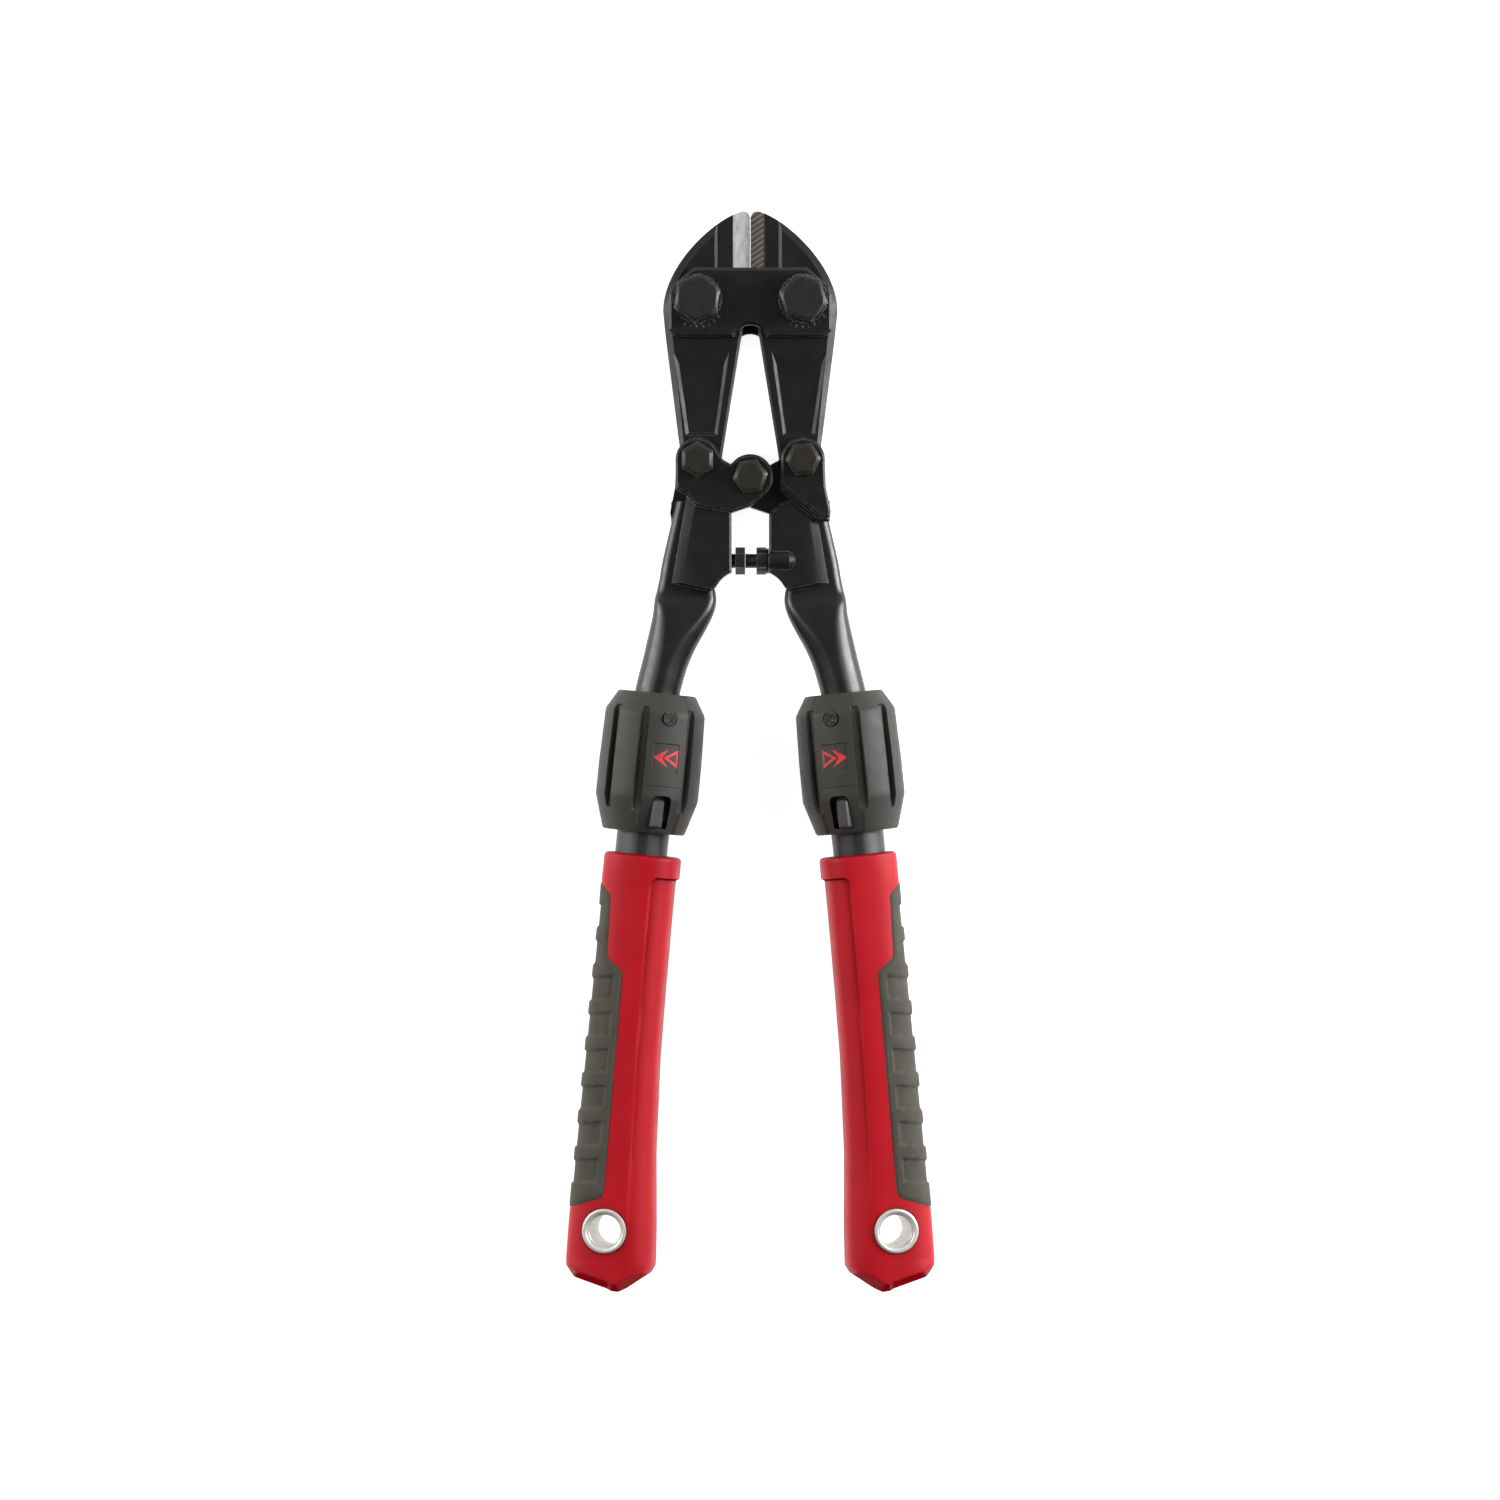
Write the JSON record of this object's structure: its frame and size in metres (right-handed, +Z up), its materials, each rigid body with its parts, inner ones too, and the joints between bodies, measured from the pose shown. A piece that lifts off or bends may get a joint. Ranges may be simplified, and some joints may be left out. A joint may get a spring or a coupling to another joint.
{
  "type": "bolt cutters",
  "caption": "Compound-action bolt cutters with telescoping handles, twist-lock collars and moulded grips, closed and lying flat.",
  "frame": {"origin": "on the floor under the middle of the tool's bounding box, the tool lying flat on its back face", "axes": "+Y along the tool towards the jaw tips, +Z up out of the front face, +X to the right seen from the front"},
  "size_m": [0.156, 0.4573, 0.0424],
  "materials": {
    "black_steel": "black oxide on forged steel, satin",
    "bolt_steel": "dark brownish oxide, satin",
    "neck_tube_paint": "satin black coating",
    "outer_tube_paint": "dark grey coating, satin",
    "collar_plastic": "fine moulded texture",
    "inner_plastic": "plain moulded nylon",
    "grip_plastic": "satin red, softly glossy",
    "grip_rubber": "matte, fine grain",
    "ring_aluminium": "machined, bright",
    "lock_steel": "plain zinc plated"
  },
  "bodies": {
    "side_plates": {"front_strap": "black_steel", "rear_strap": "black_steel", "jaw_bolts": "bolt_steel", "jaw_nuts": "bolt_steel", "jaw_lock_washers": "bolt_steel"},
    "left_jaw": {"left_jaw": "black_steel", "left_link_bolt": "bolt_steel", "left_link_nut": "bolt_steel"},
    "right_jaw": {"right_jaw": "black_steel", "right_link_bolt": "bolt_steel", "right_link_nut": "bolt_steel"},
    "left_arm": {"left_arm": "black_steel", "left_neck_tube": "neck_tube_paint", "left_tube_guide": "inner_plastic", "left_stop_screw": "bolt_steel", "centre_bolt": "bolt_steel", "centre_washer": "bolt_steel", "centre_nut": "bolt_steel"},
    "right_arm": {"right_arm": "black_steel", "right_neck_tube": "neck_tube_paint", "right_tube_guide": "inner_plastic", "right_stop_screw": "bolt_steel", "right_stop_nut": "bolt_steel"},
    "left_handle": {"left_outer_tube": "outer_tube_paint", "left_mouth_bush": "inner_plastic", "left_lock_housing": "inner_plastic", "left_grip": "grip_plastic", "left_grip_rubber": "grip_rubber", "left_lanyard_ring": "ring_aluminium"},
    "left_collar": {"left_collar_front": "collar_plastic", "left_collar_rear": "collar_plastic", "left_collar_screws": "bolt_steel", "left_cam_ring": "inner_plastic"},
    "left_lock": {"left_lock_pin": "lock_steel", "left_lock_spring": "lock_steel"},
    "right_handle": {"right_outer_tube": "outer_tube_paint", "right_mouth_bush": "inner_plastic", "right_lock_housing": "inner_plastic", "right_grip": "grip_plastic", "right_grip_rubber": "grip_rubber", "right_lanyard_ring": "ring_aluminium"},
    "right_collar": {"right_collar_front": "collar_plastic", "right_collar_rear": "collar_plastic", "right_collar_screws": "bolt_steel", "right_cam_ring": "inner_plastic"},
    "right_lock": {"right_lock_pin": "lock_steel", "right_lock_spring": "lock_steel"}
  },
  "joints": [
    {"name": "left_jaw_pivot", "type": "hinge", "parent": "side_plates", "child": "left_jaw", "pos_m": [-0.0223, 0.1907, 0.0212], "axis": [0, 0, 1], "range_deg": [0, 10.01]},
    {"name": "left_handle_swing", "type": "hinge", "parent": "left_jaw", "child": "left_arm", "pos_m": [-0.0223, 0.1229, 0.0212], "axis": [0, 0, -1], "range_deg": [0, 55.41]},
    {"name": "left_handle_slide", "type": "slide", "parent": "left_arm", "child": "left_handle", "axis": [-0.1002, -0.995, 0], "range_m": [0, 0.152]},
    {"name": "left_collar_twist", "type": "hinge", "parent": "left_handle", "child": "left_collar", "pos_m": [-0.0394, 0.0245, 0.0212], "axis": [-0.1002, -0.995, 0], "range_deg": [0, 8]},
    {"name": "left_lock_slide", "type": "slide", "parent": "left_handle", "child": "left_lock", "axis": [0, 0, -1], "range_m": [0, 0.00201], "deforming": ["left_lock_spring"]},
    {"name": "right_jaw_pivot", "type": "hinge", "parent": "side_plates", "child": "right_jaw", "pos_m": [0.0223, 0.1907, 0.0212], "axis": [0, 0, -1], "range_deg": [0, 10.01]},
    {"name": "right_handle_swing", "type": "hinge", "parent": "right_jaw", "child": "right_arm", "pos_m": [0.0223, 0.1229, 0.0212], "axis": [0, 0, 1], "range_deg": [0, 55.42]},
    {"name": "right_handle_slide", "type": "slide", "parent": "right_arm", "child": "right_handle", "axis": [0.1002, -0.995, 0], "range_m": [0, 0.152]},
    {"name": "right_collar_twist", "type": "hinge", "parent": "right_handle", "child": "right_collar", "pos_m": [0.0394, 0.0245, 0.0212], "axis": [-0.1002, 0.995, 0], "range_deg": [0, 8]},
    {"name": "right_lock_slide", "type": "slide", "parent": "right_handle", "child": "right_lock", "axis": [0, 0, -1], "range_m": [0, 0.00201], "deforming": ["right_lock_spring"]}
  ],
  "couplings": [
    {"joint": "right_handle_swing", "follows": "left_handle_swing", "ratio": 1},
    {"joint": "left_jaw_pivot", "follows": "left_handle_swing", "ratio": 0.18046},
    {"joint": "right_jaw_pivot", "follows": "left_handle_swing", "ratio": 0.18046},
    {"joint": "left_lock_slide", "follows": "left_collar_twist", "m_per_rad": 0.014324},
    {"joint": "right_lock_slide", "follows": "right_collar_twist", "m_per_rad": 0.014324}
  ]
}
